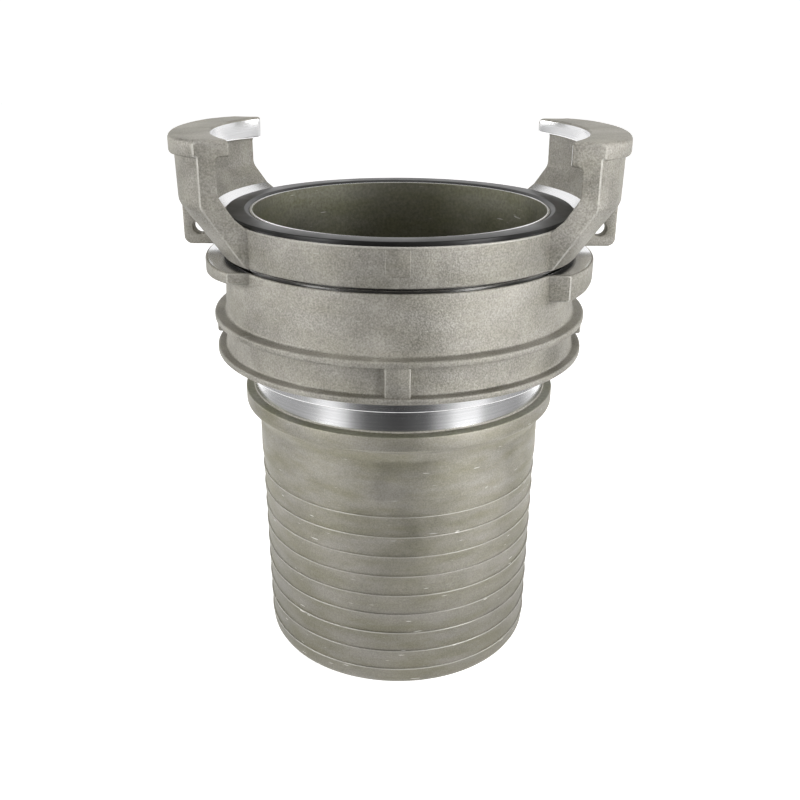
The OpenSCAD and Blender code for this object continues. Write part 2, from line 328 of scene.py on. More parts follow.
paper_outline = [(x, y, 0) for x, y in PAPER_EDGE] + [(-x, y, 0) for x, y in PAPER_EDGE[::-1]]
near_edge = [(-FLOOR_HALF, FLOOR_NEAR, 0), (FLOOR_HALF, FLOOR_NEAR, 0)]
wall_foot = [(-FLOOR_HALF, WALL_Y, 0), (FLOOR_HALF, WALL_Y, 0)]
wall_head = [(FLOOR_HALF, WALL_Y, WALL_TOP), (-FLOOR_HALF, WALL_Y, WALL_TOP)]
flat_sheet("floor", paper_outline + near_edge + wall_foot, FLOOR_FACES, [FLOOR_PAPER, CLOTH])
flat_sheet("wall", wall_foot + wall_head, [(0, 1, 2, 3)], [WALL_PAPER])
print("floor:", 2 * FLOOR_HALF, "m wide, paper's near edge:", 2 * PAPER_EDGE[1][0], "m")

# %% [markdown]
# ## Lamps
#
# Two tall soft lamps stand left and right of the camera and give the round
# casting its two pale sides. Two more light its flanks, and a wide one hangs
# above. Each row gives a lamp's place, width, height and power in watts.

# %% Lamps
LAMPS = {
    "left_strip": ((-0.66, -0.52, 0.28), 0.26, 0.6, 3.7),
    "right_strip": ((0.62, -0.54, 0.28), 0.22, 0.6, 5.3),
    "left_side": ((-0.85, 0.20, 0.31), 0.5, 0.22, 2.0),
    "right_side": ((0.85, 0.20, 0.31), 0.5, 0.22, 2.0),
    "top_soft": ((0.0, 0.15, 1.2), 0.9, 0.9, 5.0),
}
LAMP_AIM = Vector((0, 0, 0.12))

for name, (place, width, height, power) in LAMPS.items():
    lamp_data = bpy.data.lights.new(name, "AREA")
    lamp_data.shape = "RECTANGLE"
    lamp_data.size, lamp_data.size_y = width, height
    lamp_data.energy = power
    lamp = link_object(name, lamp_data)
    lamp.location = place
    lamp.rotation_euler = (LAMP_AIM - Vector(place)).to_track_quat("-Z", "Y").to_euler()
print("lamps:", len(LAMPS))

# %% [markdown]
# ## Grain, what shot blasting leaves
#
# The casting was shot blasted: a fine, even grain with faint blotches. Real pits
# would take millions of faces, so a noise with small pits added drives bump and
# colour, and a coarser noise gives the blotches. More than one finish needs it,
# so it is a node group with inputs of its own.

# %% Grain group
NOISE_LOW, NOISE_HIGH = 0.3, 0.7


def group_tree(name, inputs, outputs):
    """A shader group whose sockets are all plain values. Inputs come with their defaults."""
    tree = bpy.data.node_groups.new(name, "ShaderNodeTree")
    kind = "NodeSocketFloat"
    for label, value in inputs.items():
        tree.interface.new_socket(name=label, in_out="INPUT", socket_type=kind).default_value = value
    for label in outputs:
        tree.interface.new_socket(name=label, in_out="OUTPUT", socket_type=kind)
    return tree, tree.nodes.new("NodeGroupInput").outputs, tree.nodes.new("NodeGroupOutput").inputs


def build_grain_group():
    tree, given, result = group_tree(
        "blasted_grain",
        {"Grain per m": 1400.0, "Blotch per m": 60.0, "Pit share": 0.3},
        ("Height", "Tone", "Blotch"),
    )
    place = object_place(tree)
    fine = pattern_node(tree, "ShaderNodeTexNoise", place, {"Detail": 3.0, "Roughness": 0.6})
    coarse = pattern_node(tree, "ShaderNodeTexNoise", place, {"Detail": 4.0, "Roughness": 0.6})
    pits = pattern_node(tree, "ShaderNodeTexVoronoi", place, feature="SMOOTH_F1")
    join(tree, given["Grain per m"], fine.inputs["Scale"])
    join(tree, given["Blotch per m"], coarse.inputs["Scale"])
    join(tree, given["Grain per m"], pits.inputs["Scale"])
    pitted = maths(tree, "MULTIPLY", pits.outputs["Distance"], given["Pit share"])
    join(tree, maths(tree, "ADD", fine.outputs["Fac"], pitted), result["Height"])
    join(tree, spread_value(tree, fine.outputs["Fac"], NOISE_LOW, NOISE_HIGH), result["Tone"])
    join(tree, spread_value(tree, coarse.outputs["Fac"], NOISE_LOW, NOISE_HIGH), result["Blotch"])
    return tree


GRAIN = build_grain_group()
print("group:", GRAIN.name)

# %% [markdown]
# ## Rings, what a lathe tool leaves
#
# A lathe tool cuts one fine groove after another round the axis. A wave texture
# would draw them too evenly. The distance from the axis plus the height changes
# along every turned face, flat or upright, so a noise that reads only this one
# number draws uneven rings on all of them. A second, slow noise makes some
# stretches duller than others.

# %% Turned group
SMEAR_PER_M = 45.0


def build_turned_group():
    tree, given, result = group_tree("turned_rings", {"Rings per m": 2500.0}, ("Height", "Streak"))
    place = object_place(tree)
    parts = object_parts(tree, place)
    flat = add_node(tree, "ShaderNodeCombineXYZ")
    reach = add_node(tree, "ShaderNodeVectorMath", operation="LENGTH")
    join(tree, parts["X"], flat.inputs["X"])
    join(tree, parts["Y"], flat.inputs["Y"])
    join(tree, flat.outputs[0], reach.inputs[0])
    across = maths(tree, "ADD", reach.outputs["Value"], parts["Z"])
    scaled = maths(tree, "MULTIPLY", across, given["Rings per m"])
    rings = add_node(tree, "ShaderNodeTexNoise", {"Scale": 1.0, "Detail": 2.0}, noise_dimensions="1D")
    join(tree, scaled, rings.inputs["W"])
    join(tree, rings.outputs["Fac"], result["Height"])
    smear = pattern_node(tree, "ShaderNodeTexNoise", place, {"Scale": SMEAR_PER_M, "Detail": 3.0})
    join(tree, smear.outputs["Fac"], result["Streak"])
    return tree


TURNED = build_turned_group()
print("group:", TURNED.name)

# %% [markdown]
# ## Scuffs, what handling leaves
#
# The tail was knocked and turned about: short bright marks, more round it than
# along it, and faint smears. A noise is drawn out sideways and leaned a little,
# and only its peaks become marks. A slower, flattened one gives the smears.

# %% Scuff group
MARK_LEAN, MARK_STRETCH = (0.5, 0.3, 0.2), (0.25, 0.25, 2.2)
MARK_PEAK = (0.755, 0.80)
SMEAR_STRETCH, SMEAR_RANGE = (1.0, 1.0, 3.5), (0.35, 0.65)


def build_scuff_group():
    tree, given, result = group_tree(
        "handling_scuffs", {"Marks per m": 620.0, "Share": 0.5}, ("Mask", "Smear")
    )
    place = object_place(tree)
    lean_values = {"Rotation": MARK_LEAN, "Scale": MARK_STRETCH}
    lean = pattern_node(tree, "ShaderNodeMapping", place, lean_values).outputs[0]
    line = pattern_node(tree, "ShaderNodeTexNoise", lean, {"Detail": 1.0, "Roughness": 0.4})
    join(tree, given["Marks per m"], line.inputs["Scale"])
    peak = spread_value(tree, line.outputs["Fac"], *MARK_PEAK)
    join(tree, maths(tree, "MULTIPLY", peak, given["Share"], clamp=True), result["Mask"])
    flat = pattern_node(tree, "ShaderNodeMapping", place, {"Scale": SMEAR_STRETCH}).outputs[0]
    smear_values = {"Scale": SMEAR_PER_M, "Detail": 5.0, "Roughness": 0.6}
    smear = pattern_node(tree, "ShaderNodeTexNoise", flat, smear_values)
    join(tree, spread_value(tree, smear.outputs["Fac"], *SMEAR_RANGE), result["Smear"])
    return tree


SCUFFS = build_scuff_group()
print("group:", SCUFFS.name)

# %% [markdown]
# ## Wear and painted edge highlights
#
# Edges that rub on things lose their skin and show bare metal in patches. Convex edges also get a
# painted highlight, a pale line where light catches them. The mesh carries an attribute that is 1 on
# such edges. The group thins it out with the smears, adds the scuff marks, and puts out how much a
# spot shows the pale bare colour.

# %% Wear group
EDGE_PATCHES = (0.2, 1.0)


def build_wear_highlight_group():
    tree, given, result = group_tree(
        "rubbed_and_highlit_edges", {"Smear": 0.5, "Marks": 0.0, "Edge highlight share": 0.45}, ("Bare",)
    )
    # The edge mark stands for rubbed metal and for a painted highlight.
    wear_and_highlight = add_node(tree, "ShaderNodeAttribute", attribute_name="wear_and_highlight").outputs["Fac"]
    patches = spread_value(tree, given["Smear"], 0.0, 1.0, *EDGE_PATCHES)
    rubbed = maths(tree, "MULTIPLY", wear_and_highlight, patches)
    edge = maths(tree, "MULTIPLY", rubbed, given["Edge highlight share"])
    join(tree, maths(tree, "MAXIMUM", edge, given["Marks"], clamp=True), result["Bare"])
    return tree


WEAR_HIGHLIGHT_GROUP = build_wear_highlight_group()
print("group:", WEAR_HIGHLIGHT_GROUP.name)

# %% [markdown]
# ## From groups to finishes
#
# A finish is a Principled shader with the groups joined to its colour, its
# roughness and a bump. The helpers mix two colours or two values, and set how
# deep the bump is in real millimetres.

# %% Finish helpers
def new_finish(name, metallic):
    material = bpy.data.materials.new(name)
    material.use_nodes = True
    shader = material.node_tree.nodes["Principled BSDF"]
    shader.inputs["Metallic"].default_value = metallic
    return material, material.node_tree, shader


def colour_between(tree, factor, dark, light, way="MIX"):
    """Mix two colours; each is a socket or a plain colour."""
    mix = add_node(tree, "ShaderNodeMix", data_type="RGBA", blend_type=way)
    join(tree, factor, mix.inputs[0])
    for side, colour in ((mix.inputs[6], dark), (mix.inputs[7], light)):
        if isinstance(colour, tuple):
            side.default_value = (*colour, 1)
        else:
            join(tree, colour, side)
    return mix.outputs[2]


def value_between(tree, factor, low, high):
    return spread_value(tree, factor, 0.0, 1.0, low, high)


def set_bump(tree, shader, height, depth):
    bump = add_node(tree, "ShaderNodeBump", {"Strength": 1.0, "Distance": depth * MM})
    join(tree, height, bump.inputs["Height"])
    join(tree, bump.outputs[0], shader.inputs["Normal"])


print("finishes use the groups:", [group.name for group in (GRAIN, TURNED, SCUFFS, WEAR_HIGHLIGHT_GROUP)])

# %% [markdown]
# ## Cast aluminium
#
# Bare cast aluminium is a rough metal. A grey plastic would look much like it in
# soft light, but only a metal takes on the tones around it. Its grain moves
# between a dark and a light tone, and stains tint it where it was handled. The
# wear group says where bare metal shows, on scuffs and rubbed edges, and where
# edges get a painted highlight of the same pale colour. The hose tail gets
# darker toward its end, so a finish may also shade its colour by height.

# %% Cast finish
# The edge share is how strongly marked edges take the pale colour, as wear and as painted highlight.
GRAIN_SHARE, EDGE_HIGHLIGHT_SHARE = 0.55, 0.45
BARE_METAL_AND_HIGHLIGHT = (0.82, 0.81, 0.78)
FOOT_HEIGHTS = (0.02, 0.09)


def shaded_by_height(tree, colour, foot):
    height = object_parts(tree, object_place(tree))["Z"]
    shaded = add_node(tree, "ShaderNodeVectorMath", operation="SCALE")
    join(tree, colour, shaded.inputs[0])
    join(tree, spread_value(tree, height, *FOOT_HEIGHTS, *foot), shaded.inputs["Scale"])
    return shaded.outputs[0]


def cast_finish(name, dark, light, stain, grain, depth, rough, scuff, foot=None):
    material, tree, shader = new_finish(name, 1.0)
    skin = add_node(tree, "ShaderNodeGroup", {"Grain per m": grain}, node_tree=GRAIN).outputs
    marks = add_node(tree, "ShaderNodeGroup", {"Share": scuff}, node_tree=SCUFFS).outputs
    both = add_node(tree, "ShaderNodeMix", {0: GRAIN_SHARE})
    join(tree, skin["Blotch"], both.inputs[2])
    join(tree, skin["Tone"], both.inputs[3])
    colour = colour_between(tree, both.outputs[0], dark, light)
    colour = colour_between(tree, marks["Smear"], colour, stain, "MULTIPLY")
    if foot:
        colour = shaded_by_height(tree, colour, foot)
    # Bare metal on scuffs and rubbed spots, and a painted highlight along the marked edges.
    wear_highlight = add_node(tree, "ShaderNodeGroup", {"Edge highlight share": EDGE_HIGHLIGHT_SHARE}, node_tree=WEAR_HIGHLIGHT_GROUP)
    join(tree, marks["Smear"], wear_highlight.inputs["Smear"])
    join(tree, marks["Mask"], wear_highlight.inputs["Marks"])
    colour = colour_between(tree, wear_highlight.outputs["Bare"], colour, BARE_METAL_AND_HIGHLIGHT)
    join(tree, colour, shader.inputs["Base Color"])
    join(tree, value_between(tree, skin["Blotch"], *rough), shader.inputs["Roughness"])
    set_bump(tree, shader, skin["Height"], depth)
    return material


print("bare metal where edges rub:", BARE_METAL_AND_HIGHLIGHT)

# %% [markdown]
# ## The casting's five looks
#
# Head, hooks and ring have the blasted grain. The small pads are a little
# darker. The tail is smoother and greener, and darker at its end. The waterway
# and the collar's top get painted shade, a darker tone for the deep bore and the
# shaded top of the collar. The gap above the ring is painted nearly black, as
# painted shade for the narrow gap. One helper makes all five, so they differ
# only in values. Grain is in marks per metre, depth in mm.

# %% Cast finishes
CAST = cast_finish(
    "blasted_casting", dark=(0.22, 0.21, 0.19), light=(0.61, 0.59, 0.545),
    stain=(0.90, 0.90, 0.86), grain=1600.0, depth=0.11, rough=(0.6, 0.74), scuff=0.25,
)
PAD = cast_finish(
    "pad_casting", dark=(0.20, 0.19, 0.17), light=(0.545, 0.525, 0.482),
    stain=(0.90, 0.90, 0.84), grain=1600.0, depth=0.07, rough=(0.6, 0.74), scuff=0.25,
)
TAIL = cast_finish(
    "tail_casting", dark=(0.235, 0.226, 0.201), light=(0.43, 0.412, 0.371),
    stain=(0.80, 0.80, 0.70), grain=1800.0, depth=0.04, rough=(0.5, 0.66), scuff=0.8,
    foot=(0.73, 1.19),
)
# Painted shade: the waterway and the collar's top are made darker than the casting.
BORE = cast_finish(
    "bore_painted_shade", dark=(0.16, 0.158, 0.130), light=(0.32, 0.316, 0.262),
    stain=(0.86, 0.87, 0.74), grain=900.0, depth=0.05, rough=(0.5, 0.66), scuff=0.5,
)
# Painted shade: the faces in the narrow gap above the ring are made nearly black.
SHADE = cast_finish(
    "painted_gap_shade", dark=(0.05, 0.048, 0.04), light=(0.12, 0.115, 0.10),
    stain=(0.9, 0.9, 0.86), grain=1600.0, depth=0.05, rough=(0.4, 0.55), scuff=0.0,
)
print("cast finishes:", [finish.name for finish in (CAST, PAD, TAIL, BORE, SHADE)])

# %% [markdown]
# ## Turned metal
#
# Where a lathe cut the casting, the metal is bright and nearly a mirror. A plain
# mirror would be too clean, so the ring group moves its colour, its roughness
# and a very shallow bump. The wire's finish is made by the same helper, with
# values for a duller metal.

# %% Turned finishes
def turned_finish(name, dark, light, rings, depth, rough):
    material, tree, shader = new_finish(name, 1.0)
    cut = add_node(tree, "ShaderNodeGroup", {"Rings per m": rings}, node_tree=TURNED).outputs
    join(tree, colour_between(tree, cut["Height"], dark, light), shader.inputs["Base Color"])
    join(tree, value_between(tree, cut["Streak"], *rough), shader.inputs["Roughness"])
    set_bump(tree, shader, cut["Height"], depth)
    return material


BRIGHT = turned_finish(
    "turned_aluminium", dark=(0.80, 0.80, 0.81), light=(0.93, 0.93, 0.94),
    rings=1500.0, depth=0.012, rough=(0.16, 0.26),
)
WIRE = turned_finish(
    "drawn_wire", dark=(0.5, 0.5, 0.5), light=(0.66, 0.66, 0.66),
    rings=1200.0, depth=0.01, rough=(0.25, 0.35),
)
print("turned finishes:", BRIGHT.name, WIRE.name)

# %% [markdown]
# ## Rubber
#
# The gasket is moulded black rubber with a soft sheen. It is no metal, so its
# look comes from a nearly black colour and a low specular level. The blasted
# grain, made coarser and hardly deep, serves for its skin too.

# %% Rubber
RUBBER_DARK, RUBBER_LIGHT = (0.005, 0.005, 0.005), (0.013, 0.013, 0.012)
RUBBER_GRAIN, RUBBER_DEPTH, RUBBER_ROUGH, RUBBER_SHEEN = 500.0, 0.01, (0.28, 0.42), 0.28


def rubber_finish():
    material, tree, shader = new_finish("gasket_rubber", 0.0)
    skin = add_node(tree, "ShaderNodeGroup", {"Grain per m": RUBBER_GRAIN}, node_tree=GRAIN).outputs
    colour = colour_between(tree, skin["Blotch"], RUBBER_DARK, RUBBER_LIGHT)
    join(tree, colour, shader.inputs["Base Color"])
    join(tree, value_between(tree, skin["Blotch"], *RUBBER_ROUGH), shader.inputs["Roughness"])
    shader.inputs["Specular IOR Level"].default_value = RUBBER_SHEEN
    set_bump(tree, shader, skin["Height"], RUBBER_DEPTH)
    return material


RUBBER = rubber_finish()
print("rubber:", RUBBER.name)

# %% [markdown]
# ## Rounded outlines
#
# Each turned or swept piece starts as an outline of (radius, height) corners.
# A casting has no sharp edges, so every corner carries its own rounding. The
# helper swaps each corner for a short arc. A corner also says if the stretch
# that follows it was cut on a lathe.

# %% Outline helper
TINY = 1e-6
SIDE_SHARE = 0.49
WIDE_BEND, WIDE_STEPS, SMALL_STEPS = 0.6, 5, 3


def rounded_outline(corners):
    """Corners are (radius, height, rounding, turned). Gives (radius, height, turned) points."""
    points = []
    count = len(corners)
    for i, (r, z, bend, turned) in enumerate(corners):
        before, after = corners[i - 1], corners[(i + 1) % count]
        here = Vector((r, z))
        back = Vector(before[:2]) - here
        ahead = Vector(after[:2]) - here
        if bend <= 0 or back.length < TINY or ahead.length < TINY:
            points.append((r, z, 1.0 if turned or before[3] else 0.0))
            continue
        angle = back.angle(ahead)
        reach = min(bend / math.tan(angle / 2), back.length * SIDE_SHARE, ahead.length * SIDE_SHARE)
        bend = reach * math.tan(angle / 2)
        start = here + back.normalized() * reach
        middle = (back.normalized() + ahead.normalized()).normalized()
        centre = here + middle * (bend / math.sin(angle / 2))
        sweep = math.pi - angle
        steps = WIDE_STEPS if bend > WIDE_BEND else SMALL_STEPS
        sign = 1.0 if back.x * ahead.y - back.y * ahead.x < 0 else -1.0
        for k in range(steps + 1):
            spot = centre + Matrix.Rotation(sign * sweep * k / steps, 2) @ (start - centre)
            lathe_cut = (turned and before[3]) or (k == 0 and before[3]) or (k == steps and turned)
            points.append((spot.x, spot.y, 1.0 if lathe_cut else 0.0))
    return points


trial = rounded_outline([(0, 0, 1, 0), (10, 0, 1, 0), (10, 10, 1, 0), (0, 10, 1, 0)])
print("a square with rounded corners has", len(trial), "points")

# %% [markdown]
# ## A lathe built of geometry nodes
#
# Body, ring and gasket are all turned about one axis. A Screw modifier could do
# that, but it can't give single stretches a finish of their own. This tree takes
# an outline as a loop of edges, carries it round a circle and gives the
# stretches that are marked as turned their finish. It makes all three pieces.

# %% Lathe tree
MARK_LIMIT = 0.75


def build_lathe_tree():
    tree = bpy.data.node_groups.new("lathe", "GeometryNodeTree")
    for label, kind in (
        ("Geometry", "NodeSocketGeometry"),
        ("Segments", "NodeSocketInt"),
        ("Outline offset", "NodeSocketFloat"),
        ("Cast finish", "NodeSocketMaterial"),
        ("Turned finish", "NodeSocketMaterial"),
    ):
        tree.interface.new_socket(name=label, in_out="INPUT", socket_type=kind)
    tree.interface.new_socket(name="Geometry", in_out="OUTPUT", socket_type="NodeSocketGeometry")
    given, result = tree.nodes.new("NodeGroupInput").outputs, tree.nodes.new("NodeGroupOutput")
    outline = add_node(tree, "GeometryNodeMeshToCurve")
    circle = add_node(tree, "GeometryNodeCurvePrimitiveCircle")
    sweep = add_node(tree, "GeometryNodeCurveToMesh")
    real = add_node(tree, "GeometryNodeRealizeInstances")
    cast = add_node(tree, "GeometryNodeSetMaterial")
    turned = add_node(tree, "GeometryNodeSetMaterial")
    mark = add_node(tree, "GeometryNodeInputNamedAttribute", {"Name": "turned"}, data_type="FLOAT")
    whole = add_node(
        tree, "FunctionNodeCompare", {"B": MARK_LIMIT}, data_type="FLOAT", operation="GREATER_THAN"
    )
    join(tree, given["Geometry"], outline.inputs[0])
    join(tree, given["Segments"], circle.inputs["Resolution"])
    join(tree, given["Outline offset"], circle.inputs["Radius"])
    join(tree, circle.outputs[0], sweep.inputs["Curve"])
    join(tree, outline.outputs[0], sweep.inputs["Profile Curve"])
    join(tree, sweep.outputs[0], real.inputs[0])
    join(tree, real.outputs[0], cast.inputs["Geometry"])
    join(tree, given["Cast finish"], cast.inputs["Material"])
    join(tree, cast.outputs[0], turned.inputs["Geometry"])
    join(tree, mark.outputs[0], whole.inputs["A"])
    join(tree, whole.outputs[0], turned.inputs["Selection"])
    join(tree, given["Turned finish"], turned.inputs["Material"])
    join(tree, turned.outputs[0], result.inputs[0])
    return tree


LATHE = build_lathe_tree()
print("lathe inputs:", [i.name for i in LATHE.interface.items_tree if i.in_out == "INPUT"])

# %% [markdown]
# ## From outline to turned piece
#
# The outline's points carry two marks: turned, which the tree reads, and an edge
# mark, which the finish reads where an edge is rubbed bare and gets a painted
# highlight. The tree's circle can't have radius 0, so the outline is shifted by
# the circle's radius first. The result is kept as a plain mesh and the modifier
# is taken off.

# %% Turn on the lathe
LATHE_R = 0.1
SEGMENTS = 256


def outline_mesh(name, corners, wear_and_highlight):
    """The spots list (radius, height, reach); points within reach get edge wear and a painted
    highlight.
    """
    points = rounded_outline(corners)
    edges = [(i, (i + 1) % len(points)) for i in range(len(points))]
    mesh = bpy.data.meshes.new(name + "_outline")
    mesh.from_pydata([(r * MM - LATHE_R, -z * MM, 0) for r, z, _ in points], edges, [])
    turned = mesh.attributes.new("turned", "FLOAT", "POINT")
    turned.data.foreach_set("value", [mark for _, _, mark in points])
    rubbed = [any(math.hypot(r - wr, z - wz) < reach for wr, wz, reach in wear_and_highlight) for r, z, _ in points]
    wear_highlight = mesh.attributes.new("wear_and_highlight", "FLOAT", "POINT")
    wear_highlight.data.foreach_set("value", [1.0 if hit else 0.0 for hit in rubbed])
    return mesh


def turn_on_lathe(name, corners, cast, turned, wear_and_highlight=()):
    thing = link_object(name, outline_mesh(name, corners, wear_and_highlight))
    modifier = thing.modifiers.new("lathe", "NODES")
    modifier.node_group = LATHE
    settings = {
        "Segments": SEGMENTS,
        "Outline offset": LATHE_R,
        "Cast finish": cast,
        "Turned finish": turned,
    }
    for item in LATHE.interface.items_tree:
        if item.in_out == "INPUT" and item.name in settings:
            modifier[item.identifier] = settings[item.name]
    mesh = plain_mesh(thing)
    thing.modifiers.clear()
    thing.data = mesh
    mesh.name = name
    return thing


print("segments round a turned piece:", SEGMENTS)

# %% [markdown]
# ## How a block ends
#
# Hooks, lobes, lugs, bars and pads keep one cross-section all the way across,
# follow the round body and end in two flat sides. They could be cut from rings
# with a boolean, but its edges are hard to round. So the section is carried
# across in mesh code and drawn in near the ends, as a rounding would. A hook's
# outer wall also falls away in a long curve, its nose, and its lip is rounded
# back from inside, above and below.

# %% End shapes
NOSE_REACH, NOSE_CURVE = 14.0, 2.2
NOSE_EDGE, NOSE_EDGE_SHARE, NOSE_TO_EDGE = 0.45, 0.7, 0.25
LIP_UNDER, LIP_TOP, LIP_PLUS_SHARE = 1.0, 2.8, 0.5


def drawn_in(y, half, bend):
    """How much a rounding of this radius takes off at y, near the block's end."""
    over = abs(y) - (half - bend)
    return bend - math.sqrt(max(bend * bend - over * over, 0)) if over > 0 else 0.0


def nose_x(radius, y, half, nose):
    """How far out a hook's wall stands: it falls away by nose and ends in a small rounding."""
    fall = max(0.0, (abs(y) - half + NOSE_REACH) / NOSE_REACH) ** NOSE_CURVE
    small = NOSE_EDGE_SHARE * drawn_in(y, half, NOSE_EDGE)
    return math.sqrt(radius * radius - y * y) - nose * fall - small


def wall_spot(radius, height, normal, y, half, edge, nose):
    """Where a wall's point stands at y: with a nose, or only rounded by edge."""
    plain = math.sqrt(radius * radius - y * y) - normal.x * drawn_in(y, half, edge)
    x = nose_x(radius, y, half, nose) if nose > 0 else plain
    return x, height - normal.y * drawn_in(y, half, max(edge, nose * NOSE_TO_EDGE))


def lip_spot(radius, height, y, half, bend, upper):
    """Where a lip's point stands at y: rounded back by bend, and by less where y is above 0."""
    x = math.sqrt(radius * radius - y * y)
    x += drawn_in(y, half, bend * (1.0 if y < 0 else LIP_PLUS_SHARE))
    shift = -drawn_in(y, half, LIP_TOP) if upper else drawn_in(y, half, LIP_UNDER)
    return x, height + shift


print("a 4 mm rounding takes off", round(drawn_in(40, 41, 4), 2), "mm at 1 mm from the end")

# %% [markdown]
# ## Where the sections stand
#
# The ends need many sections close together and the straight middle only a few.
# Each point of a section also needs its outward direction, so that a rounding
# can draw it in squarely to the surface.

# %% Stations and directions
END_STEPS = (0, 0.05, 0.15, 0.3, 0.5, 0.8, 1.25, 1.8, 2.5, 3.3, 4.2, 5.3, 6.6, 8.0)
END_PART, STATION_STEP = 0.8, 1.6
NO_LENGTH = 1e-9


def stations(half):
    """Places across a block: close together at both ends, wider apart between."""
    ends = [half - step for step in END_STEPS if step < half * END_PART]
    count = max(2, int(ends[-1] / STATION_STEP))
    middle = [ends[-1] * (1 - k / count) for k in range(1, count)]
    right = ends + middle
    return [-y for y in right] + [0.0] + right[::-1]


def section_normals(points):
    normals = []
    for i, (r, z, _) in enumerate(points):
        before, after = points[i - 1], points[(i + 1) % len(points)]
        a = Vector((z - before[1], before[0] - r))
        b = Vector((after[1] - z, r - after[0]))
        a = a.normalized() if a.length > NO_LENGTH else a
        b = b.normalized() if b.length > NO_LENGTH else b
        normals.append((a + b).normalized())
    return normals


print("stations across a hook:", len(stations(41)))

# %% [markdown]
# ## Finish slots
#
# Body and ring share one list of finishes, so a face's number means the same
# finish on both. A mesh from the lathe tree knows only its two finishes, so it
# is sorted over to the shared list.

# %% Finish slots
BODY_FINISHES = [CAST, TAIL, BRIGHT, SHADE, BORE, PAD]
CAST_SLOT, TAIL_SLOT, BRIGHT_SLOT, SHADE_SLOT, BORE_SLOT, PAD_SLOT = range(len(BODY_FINISHES))


def sort_finishes(mesh):
    """Give the mesh the shared finish list and keep what the lathe tree marked as turned."""
    lathe_slot = [finish.name for finish in mesh.materials].index(BRIGHT.name)
    bright = [face.index for face in mesh.polygons if face.material_index == lathe_slot]
    mesh.materials.clear()
    for finish in BODY_FINISHES:
        mesh.materials.append(finish)
    for i in bright:
        mesh.polygons[i].material_index = BRIGHT_SLOT
    return len(bright)


print("finish slots:", [finish.name for finish in BODY_FINISHES])

# %% [markdown]
# ## Skin and caps of a block
#
# Neighbouring sections are joined by a skin of four-sided faces. Faces that a
# lathe cut are bright, but not in the rounded ends. The two flat ends are
# capped, kept crisp all round and cut into triangles, because one large face
# with a hollow outline can fold over itself.

# %% Skin and caps
ROUNDED_END = 1.0
CUT_LIMIT = 0.5


def add_skin(bm, rows, rounded, half, across, slot):
    count = len(rounded)
    for low, high in zip(rows, rows[1:]):
        for i in range(count):
            j = (i + 1) % count
            face = bm.faces.new((low[i], low[j], high[j], high[i]))
            end = max(abs(low[i].co.dot(across)), abs(high[i].co.dot(across)))
            cut = min(rounded[i][2], rounded[j][2]) > CUT_LIMIT
            face.material_index = BRIGHT_SLOT if cut and end < half - ROUNDED_END else slot


def cap_ends(bm, rows, slot):
    ends = [bm.faces.new(rows[0][::-1]), bm.faces.new(rows[-1])]
    for face in ends:
        face.normal_update()
        for side in face.edges:
            side.smooth = False
        face.material_index = slot
    bmesh.ops.triangulate(bm, faces=ends, ngon_method="EAR_CLIP")


print("bright faces end", ROUNDED_END, "mm before a block does")

# %% [markdown]
# ## Swept blocks
#
# A block's corner is (radius, height, rounding, turned, end, sloping). Its end
# value says what happens toward the block's ends: above 0 the wall falls away
# by that much, below 0 it is a lip with that rounding, and at 0 the wall is
# only rounded. A sloping corner climbs with y, which gives lips and lobes their
# ramps. The outer wall's last edge gets the edge mark, for wear and a painted
# highlight.

# %% Swept block
WEAR_HIGHLIGHT_NEAR, WEAR_HIGHLIGHT_FAR = 0.02, 0.4


def swept_block(bm, corners, half, slope=0.0, edge=0.6, angle=0.0, slot=CAST_SLOT):
    rounded = rounded_outline([corner[:4] for corner in corners])
    kinds = [min(corners, key=lambda c: (c[0] - r) ** 2 + (c[1] - z) ** 2)[4:] for r, z, _ in rounded]
    normals = section_normals(rounded)
    lip = [corner[1] for corner in corners if corner[4] < 0]
    lip_middle = sum(lip) / max(len(lip), 1)
    wear_and_highlight = bm.verts.layers.float.get("wear_and_highlight") or bm.verts.layers.float.new("wear_and_highlight")
    turn = Matrix.Rotation(math.radians(angle), 3, "Z")
    rows = []
    for y in stations(half):
        row = []
        for (r, z, _), (end, sloping), normal in zip(rounded, kinds, normals):
            height = z + (slope * y if sloping else 0.0)
            if end < 0:
                x, height = lip_spot(r, height, y, half, -end, z >= lip_middle)
            else:
                x, height = wall_spot(r, height, normal, y, half, edge, end)
            vert = bm.verts.new(turn @ Vector((x, y, height)))
            # The wall's last edge gets the edge mark: wear and a painted highlight.
            vert[wear_and_highlight] = 1.0 if end > 0 and WEAR_HIGHLIGHT_NEAR < half - abs(y) < WEAR_HIGHLIGHT_FAR else 0.0
            row.append(vert)
        rows.append(row)
    add_skin(bm, rows, rounded, half, turn.col[1], slot)
    cap_ends(bm, rows, slot)


def add_blocks(bm, mesh):
    """The blocks are built in millimetres, so they are made metres before they join the mesh."""
    bmesh.ops.recalc_face_normals(bm, faces=bm.faces)
    bmesh.ops.scale(bm, verts=bm.verts, vec=(MM, MM, MM))
    bm.from_mesh(mesh)
    bm.to_mesh(mesh)
    bm.free()


print("worn edge of a block:", WEAR_HIGHLIGHT_NEAR, "to", WEAR_HIGHLIGHT_FAR, "mm from its end")

# %% [markdown]
# ## The body casting
#
# One casting: the gripped tail, the collar, the turned neck and skirt, and the
# head. The nine grip edges get a little wider upward and sit at even steps, so
# they are written with a loop. Stretches the lathe cut are marked True. The
# grips' edges carry the edge mark for rubbed bare metal and a painted highlight,
# and the rim of the face carries it for a painted highlight alone.

# %% Body outline
GRIP_COUNT, GRIP_STEP, GRIP_START, GRIP_DEPTH = 9, 8.49, 7.6, 0.55
GRIP_RADIUS, GRIP_GROWTH = 55.15, 0.11
GRIP_CREST, GRIP_BREAK = 0.05, (0.12, 0.14)
